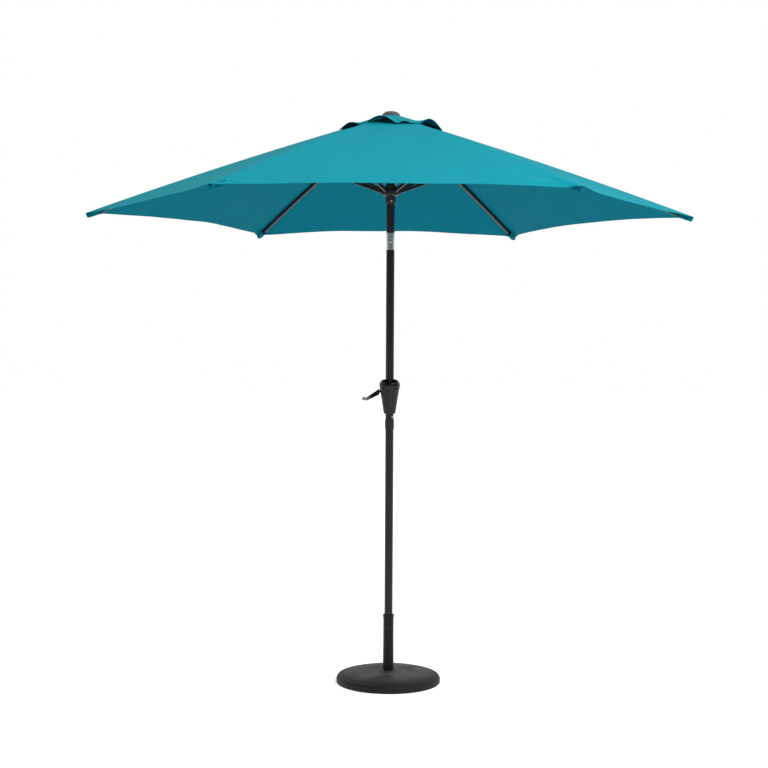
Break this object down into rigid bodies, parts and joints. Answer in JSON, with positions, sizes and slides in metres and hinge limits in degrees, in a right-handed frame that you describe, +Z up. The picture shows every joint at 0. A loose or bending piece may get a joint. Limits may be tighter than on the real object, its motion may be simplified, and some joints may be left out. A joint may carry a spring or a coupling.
{
  "type": "market umbrella",
  "caption": "Open hexagonal market umbrella with a vented cloth canopy, crank lift, tilting pole joint and round weighted base.",
  "frame": {"origin": "floor level under the middle of the round base, on the pole's axis", "axes": "+Z up along the pole, +X along the first rib, -Y the side the canopy tilts towards; the clamp knob is on +Y and the crank lever on -X"},
  "size_m": [2.646, 2.294, 2.4965],
  "materials": {
    "base_resin": "matt dark coated resin and stone mix",
    "base_enamel": "satin black enamel",
    "zinc_steel": "zinc plated",
    "black_plastic": "moulded, satin",
    "anthracite_tube": "glossy anthracite powder coat",
    "bare_tube": "mill finish",
    "polished_lever": "polished, dark near the hub",
    "polished_knuckle": "bright polished",
    "black_steel": "satin black powder coat",
    "teal_cloth": "woven polyester",
    "cap_plastic": "moulded, satin",
    "hoist_cord": "braided cord"
  },
  "bodies": {
    "base": {"base_weight": "base_resin", "base_tube": "base_enamel", "base_bolt": "zinc_steel", "tube_collar": "black_plastic"},
    "clamp": {"clamp_knob": "black_plastic"},
    "pole": {"lower_pole": "anthracite_tube", "pole_coupler": "black_plastic", "pole_insert": "bare_tube", "mid_pole": "anthracite_tube", "crank_housing_front": "black_plastic", "crank_housing_back": "black_plastic", "housing_screws": "zinc_steel", "tilt_lower": "polished_knuckle", "tilt_pins": "zinc_steel", "lift_cord_lower": "hoist_cord"},
    "snap": {"snap_button": "zinc_steel"},
    "crank": {"crank_spool": "zinc_steel", "crank_lever": "polished_lever"},
    "top": {"tilt_upper": "polished_knuckle", "top_pole": "anthracite_tube", "top_hub": "black_plastic", "hub_ring": "zinc_steel", "finial": "cap_plastic", "pulley_axle": "zinc_steel", "lift_cord_upper": "hoist_cord", "lift_cord_fall": "hoist_cord"},
    "latch": {"tilt_button": "black_plastic"},
    "sheave": {"pulley": "black_plastic"},
    "rib_arm_1": {"rib_1": "black_steel", "rib_tip_1": "black_plastic", "rib_joint_1": "black_plastic", "canopy_1": "teal_cloth"},
    "rib_arm_2": {"rib_2": "black_steel", "rib_tip_2": "black_plastic", "rib_joint_2": "black_plastic", "canopy_2": "teal_cloth"},
    "rib_arm_3": {"rib_3": "black_steel", "rib_tip_3": "black_plastic", "rib_joint_3": "black_plastic", "canopy_3": "teal_cloth"},
    "rib_arm_4": {"rib_4": "black_steel", "rib_tip_4": "black_plastic", "rib_joint_4": "black_plastic", "canopy_4": "teal_cloth"},
    "rib_arm_5": {"rib_5": "black_steel", "rib_tip_5": "black_plastic", "rib_joint_5": "black_plastic", "canopy_5": "teal_cloth"},
    "rib_arm_6": {"rib_6": "black_steel", "rib_tip_6": "black_plastic", "rib_joint_6": "black_plastic", "canopy_6": "teal_cloth"},
    "strut_arm_1": {"strut_1": "black_steel"},
    "strut_arm_2": {"strut_2": "black_steel"},
    "strut_arm_3": {"strut_3": "black_steel"},
    "strut_arm_4": {"strut_4": "black_steel"},
    "strut_arm_5": {"strut_5": "black_steel"},
    "strut_arm_6": {"strut_6": "black_steel"},
    "slider": {"runner": "black_plastic", "runner_ring": "zinc_steel"}
  },
  "joints": [
    {"name": "pole_turn", "type": "hinge", "parent": "base", "child": "pole", "pos_m": [0, 0, 0.15], "axis": [0, 0, 1], "range_deg": [-180, 180]},
    {"name": "clamp_screw", "type": "hinge", "parent": "base", "child": "clamp", "pos_m": [0, 0.04, 0.241], "axis": [0, 1, 0], "range_deg": [0, 720]},
    {"name": "snap_press", "type": "slide", "parent": "pole", "child": "snap", "axis": [-0.6018, 0.7986, 0], "range_m": [0, 0.003], "stiffness_N_per_m": 800, "springref_m": -0.001},
    {"name": "canopy_tilt", "type": "hinge", "parent": "pole", "child": "top", "pos_m": [0, 0, 1.932], "axis": [1, 0, 0], "range_deg": [0, 30]},
    {"name": "tilt_press", "type": "slide", "parent": "pole", "child": "latch", "axis": [0, -1, 0], "range_m": [0, 0.003], "stiffness_N_per_m": 800, "springref_m": -0.001},
    {"name": "canopy_fold", "type": "hinge", "parent": "top", "child": "rib_arm_1", "pos_m": [0.032, 0, 2.459], "axis": [0, -1, 0], "range_deg": [-66, 0], "deforming": ["canopy_1", "canopy_2", "canopy_3", "canopy_4", "canopy_5", "canopy_6", "lift_cord_fall"]},
    {"name": "rib_2_fold", "type": "hinge", "parent": "top", "child": "rib_arm_2", "pos_m": [0.016, 0.02771, 2.459], "axis": [0.866, -0.5, 0], "range_deg": [-66, 0]},
    {"name": "rib_3_fold", "type": "hinge", "parent": "top", "child": "rib_arm_3", "pos_m": [-0.016, 0.02771, 2.459], "axis": [0.866, 0.5, 0], "range_deg": [-66, 0]},
    {"name": "rib_4_fold", "type": "hinge", "parent": "top", "child": "rib_arm_4", "pos_m": [-0.032, 0, 2.459], "axis": [0, 1, 0], "range_deg": [-66, 0]},
    {"name": "rib_5_fold", "type": "hinge", "parent": "top", "child": "rib_arm_5", "pos_m": [-0.016, -0.02771, 2.459], "axis": [-0.866, 0.5, 0], "range_deg": [-66, 0]},
    {"name": "rib_6_fold", "type": "hinge", "parent": "top", "child": "rib_arm_6", "pos_m": [0.016, -0.02771, 2.459], "axis": [-0.866, -0.5, 0], "range_deg": [-66, 0]},
    {"name": "strut_1_fold", "type": "hinge", "parent": "rib_arm_1", "child": "strut_arm_1", "pos_m": [0.4753, 0, 2.30246], "axis": [0, -1, 0], "range_deg": [0, 132.01]},
    {"name": "strut_2_fold", "type": "hinge", "parent": "rib_arm_2", "child": "strut_arm_2", "pos_m": [0.23765, 0.41162, 2.30246], "axis": [0.866, -0.5, 0], "range_deg": [0, 132.01]},
    {"name": "strut_3_fold", "type": "hinge", "parent": "rib_arm_3", "child": "strut_arm_3", "pos_m": [-0.23765, 0.41162, 2.30246], "axis": [0.866, 0.5, 0], "range_deg": [0, 132.01]},
    {"name": "strut_4_fold", "type": "hinge", "parent": "rib_arm_4", "child": "strut_arm_4", "pos_m": [-0.4753, 0, 2.30246], "axis": [0, 1, 0], "range_deg": [0, 132.01]},
    {"name": "strut_5_fold", "type": "hinge", "parent": "rib_arm_5", "child": "strut_arm_5", "pos_m": [-0.23765, -0.41162, 2.30246], "axis": [-0.866, 0.5, 0], "range_deg": [0, 132.01]},
    {"name": "strut_6_fold", "type": "hinge", "parent": "rib_arm_6", "child": "strut_arm_6", "pos_m": [0.23765, -0.41162, 2.30246], "axis": [-0.866, -0.5, 0], "range_deg": [0, 132.01]},
    {"name": "runner_slide", "type": "hinge", "parent": "strut_arm_1", "child": "slider", "pos_m": [0.032, 0, 2.14591], "axis": [0, -1, 0], "range_deg": [-66.01, 0]},
    {"name": "crank_turn", "type": "hinge", "parent": "pole", "child": "crank", "pos_m": [-0.04, 0, 1.277], "axis": [-1, 0, 0], "range_deg": [0, 3960.1]},
    {"name": "pulley_turn", "type": "hinge", "parent": "top", "child": "sheave", "pos_m": [0.01046, -0.00604, 2.416], "axis": [0.5, 0.866, 0], "range_deg": [0, 2970.1]}
  ],
  "couplings": [
    {"joint": "rib_2_fold", "follows": "canopy_fold", "ratio": 1},
    {"joint": "rib_3_fold", "follows": "canopy_fold", "ratio": 1},
    {"joint": "rib_4_fold", "follows": "canopy_fold", "ratio": 1},
    {"joint": "rib_5_fold", "follows": "canopy_fold", "ratio": 1},
    {"joint": "rib_6_fold", "follows": "canopy_fold", "ratio": 1},
    {"joint": "strut_1_fold", "follows": "canopy_fold", "ratio": -2},
    {"joint": "strut_2_fold", "follows": "canopy_fold", "ratio": -2},
    {"joint": "strut_3_fold", "follows": "canopy_fold", "ratio": -2},
    {"joint": "strut_4_fold", "follows": "canopy_fold", "ratio": -2},
    {"joint": "strut_5_fold", "follows": "canopy_fold", "ratio": -2},
    {"joint": "strut_6_fold", "follows": "canopy_fold", "ratio": -2},
    {"joint": "runner_slide", "follows": "canopy_fold", "ratio": 1},
    {"joint": "crank_turn", "follows": "canopy_fold", "ratio": -60},
    {"joint": "pulley_turn", "follows": "canopy_fold", "ratio": -45}
  ]
}
